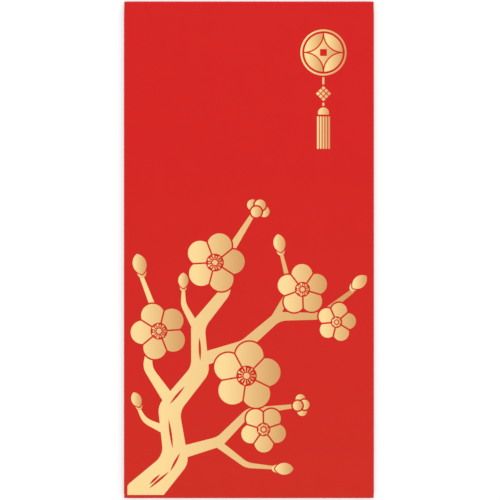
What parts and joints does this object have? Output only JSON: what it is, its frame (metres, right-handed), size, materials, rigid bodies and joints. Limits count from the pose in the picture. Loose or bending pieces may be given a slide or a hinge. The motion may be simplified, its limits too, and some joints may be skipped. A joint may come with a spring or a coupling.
{
  "type": "red envelope",
  "caption": "Tall red gift envelope of folded and glued card, with a closing flap over its pocket and gold foil ornament on its face.",
  "frame": {"origin": "centre of the outline, on the surface that the envelope lies on, with its back down", "axes": "+X across the width to the right of the face, +Y up the height towards the closing crease, +Z out of the face"},
  "size_m": [0.084, 0.167, 0.0018],
  "materials": {
    "red_card": "matte",
    "gold_foil": "satin",
    "glue": "satin"
  },
  "bodies": {
    "envelope": {"front_panel": "red_card", "back_panel": "red_card", "side_glue_tab": "red_card", "bottom_flap": "red_card", "left_fold": "red_card", "right_fold": "red_card", "bottom_fold": "red_card", "closing_crease": "red_card", "side_seam_glue": "glue", "bottom_flap_glue": "glue", "medallion_ring": "gold_foil", "medallion_petals": "gold_foil", "medallion_core": "gold_foil", "tassel_cord": "gold_foil", "tassel_knot": "gold_foil", "tassel_cap": "gold_foil", "tassel_fringe": "gold_foil", "plum_branch": "gold_foil", "plum_buds": "gold_foil", "plum_blossom_1": "gold_foil", "plum_blossom_2": "gold_foil", "plum_blossom_3": "gold_foil", "plum_blossom_4": "gold_foil", "plum_blossom_5": "gold_foil", "plum_blossom_6": "gold_foil"},
    "flap": {"closing_flap": "red_card"}
  },
  "joints": [
    {"name": "flap_hinge", "type": "hinge", "parent": "envelope", "child": "flap", "pos_m": [0, 0.08262, 0.00088], "axis": [1, 0, 0], "range_deg": [0, 180], "deforming": ["closing_crease"]}
  ]
}
